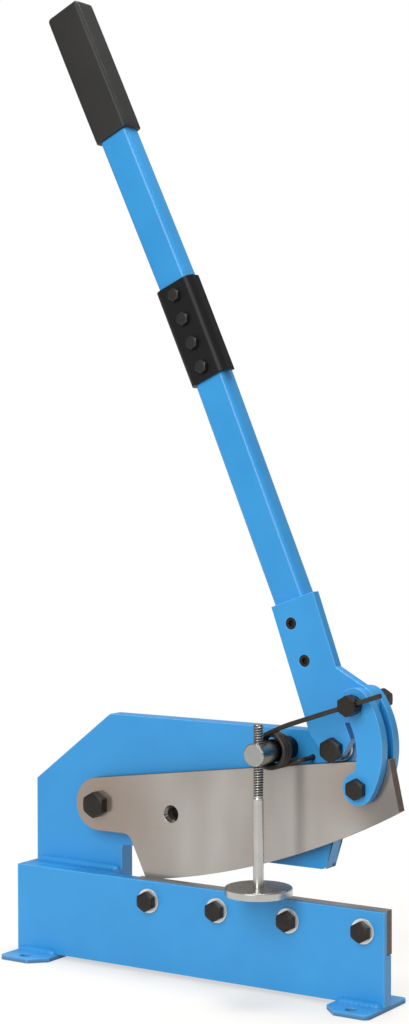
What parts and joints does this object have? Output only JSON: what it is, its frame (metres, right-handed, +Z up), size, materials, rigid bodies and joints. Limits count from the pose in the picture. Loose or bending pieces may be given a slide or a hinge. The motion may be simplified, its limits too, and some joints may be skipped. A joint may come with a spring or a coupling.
{
  "type": "bench lever shear",
  "caption": "Bench-mounted lever shear with a fixed lower blade, a swinging curved upper blade, a link-driven two-piece hand lever, a return spring and a screw hold-down.",
  "frame": {"origin": "centre of the four bench bolt holes, on the bench surface under the feet", "axes": "+X along the beam towards the lever's end, +Y from the working side to the back, +Z up"},
  "size_m": [0.471, 0.1332, 1.0585],
  "materials": {
    "blue_paint": "smooth gloss enamel",
    "blade_steel": "ground",
    "bright_steel": "zinc plated or turned bright",
    "black_bolts": "black oxide",
    "black_sleeve": "satin black",
    "spring_wire": "oiled black wire",
    "grip_rubber": "moulded, matt"
  },
  "bodies": {
    "frame": {"frame_plate": "blue_paint", "front_beam": "blue_paint", "spacer_block": "blue_paint", "left_foot": "blue_paint", "right_foot": "blue_paint", "column_weld": "blue_paint", "left_foot_weld": "blue_paint", "right_foot_weld": "blue_paint", "lower_blade": "blade_steel", "blade_bolt_1": "black_bolts", "blade_bolt_2": "black_bolts", "blade_bolt_3": "black_bolts", "blade_bolt_4": "black_bolts", "blade_washer_1": "bright_steel", "blade_washer_2": "bright_steel", "blade_washer_3": "bright_steel", "blade_washer_4": "bright_steel", "blade_pivot_bolt": "black_bolts", "blade_pivot_spacer": "bright_steel", "blade_pivot_nut": "black_bolts", "lever_pivot_bolt": "black_bolts", "lever_pivot_spacer": "bright_steel", "lever_pivot_nut": "black_bolts", "cross_shaft": "bright_steel", "shaft_nut": "black_bolts", "bar_die": "black_bolts"},
    "blade": {"upper_blade": "blade_steel"},
    "lever": {"lever_cheek": "blue_paint", "cheek_screw_1": "black_bolts", "cheek_screw_2": "black_bolts", "lower_bar": "blue_paint", "upper_bar": "blue_paint", "joint_sleeve": "black_sleeve", "sleeve_bolt_1": "black_bolts", "sleeve_bolt_2": "black_bolts", "sleeve_bolt_3": "black_bolts", "sleeve_bolt_4": "black_bolts", "sleeve_nut_1": "black_bolts", "sleeve_nut_2": "black_bolts", "sleeve_nut_3": "black_bolts", "sleeve_nut_4": "black_bolts", "grip": "grip_rubber"},
    "link": {"front_link": "blue_paint", "rear_link": "blue_paint", "link_bolt": "black_bolts", "link_nut": "black_bolts"},
    "ear_bolt": {"ear_bolt": "black_bolts", "ear_spacer": "black_bolts", "ear_nut": "black_bolts", "ear_lock_nut": "black_bolts"},
    "spring": {"return_spring": "spring_wire"},
    "hold_down": {"hold_down_screw": "bright_steel", "hold_down_foot": "bright_steel"}
  },
  "joints": [
    {"name": "lever_swing", "type": "hinge", "parent": "frame", "child": "lever", "pos_m": [0.1635, 0.0163, 0.256], "axis": [0, 1, 0], "range_deg": [0, 90], "stiffness_Nm_per_rad": 3.4, "springref_deg": -28.65},
    {"name": "blade_swing", "type": "hinge", "parent": "frame", "child": "blade", "pos_m": [-0.134, 0.0163, 0.1735], "axis": [0, 1, 0], "range_deg": [0, 12.9]},
    {"name": "link_swing", "type": "hinge", "parent": "lever", "child": "link", "pos_m": [0.19439, 0.0163, 0.30486], "axis": [0, 1, 0], "range_deg": [-72.5, 0]},
    {"name": "ear_bolt_turn", "type": "hinge", "parent": "lever", "child": "ear_bolt", "pos_m": [0.19439, 0.0163, 0.30486], "axis": [0, 1, 0], "range_deg": [-48.5, 0]},
    {"name": "spring_wind", "type": "hinge", "parent": "frame", "child": "spring", "pos_m": [0.1, -0.008, 0.2517], "axis": [0, 1, 0], "range_deg": [0, 41.6], "deforming": ["return_spring"]},
    {"name": "hold_down_slide", "type": "slide", "parent": "frame", "child": "hold_down", "axis": [0, 0, 1], "range_m": [-0.0066, 0.06]}
  ],
  "couplings": [
    {"joint": "blade_swing", "follows": "lever_swing", "ratio": 0.143},
    {"joint": "link_swing", "follows": "lever_swing", "ratio": -0.805},
    {"joint": "ear_bolt_turn", "follows": "lever_swing", "ratio": -0.538},
    {"joint": "spring_wind", "follows": "lever_swing", "ratio": 0.462}
  ]
}
